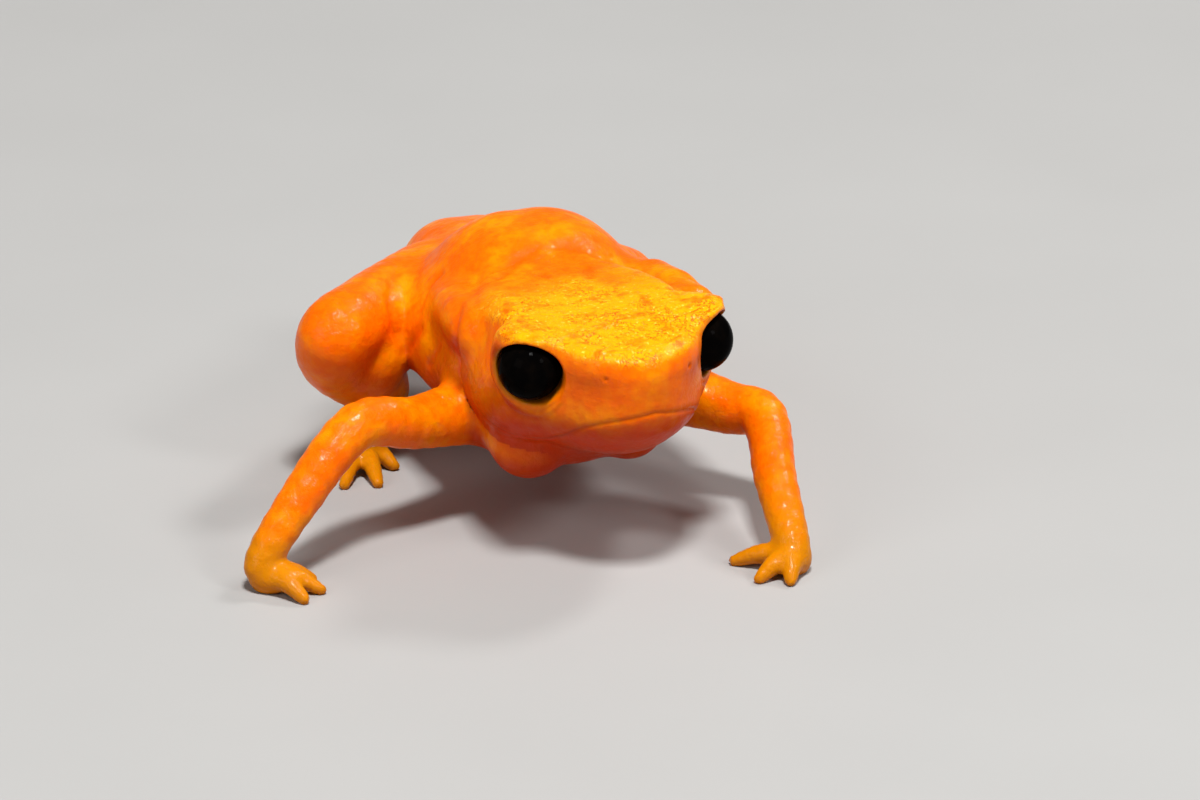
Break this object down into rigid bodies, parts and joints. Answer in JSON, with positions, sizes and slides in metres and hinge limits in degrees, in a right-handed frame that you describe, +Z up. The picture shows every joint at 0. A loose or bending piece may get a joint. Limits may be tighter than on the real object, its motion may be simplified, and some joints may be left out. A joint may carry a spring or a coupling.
{
  "type": "pumpkin toadlet",
  "caption": "Life-size still model of a pumpkin toadlet, a tiny orange toad with black eyes, standing in mid-step.",
  "frame": {"origin": "centre of the bounding box, on the floor under the hands and feet", "axes": "+Z up, -Y the way the body faces, +X the animal's left"},
  "size_m": [0.018, 0.0248, 0.007],
  "materials": {
    "orange_skin": "moist, glossy skin, vivid orange, golden yellow and finely grained on the crown, redder on throat and belly",
    "black_eye": "wet, mirror-smooth and wholly black"
  },
  "bodies": {
    "root": {"head": "orange_skin", "torso": "orange_skin", "upper_arm_right": "orange_skin", "forearm_right": "orange_skin", "hand_right": "orange_skin", "thigh_right": "orange_skin", "shank_right": "orange_skin", "foot_right": "orange_skin", "upper_arm_left": "orange_skin", "forearm_left": "orange_skin", "hand_left": "orange_skin", "thigh_left": "orange_skin", "shank_left": "orange_skin", "foot_left": "orange_skin", "eye_right": "black_eye", "eye_left": "black_eye"}
  },
  "joints": []
}
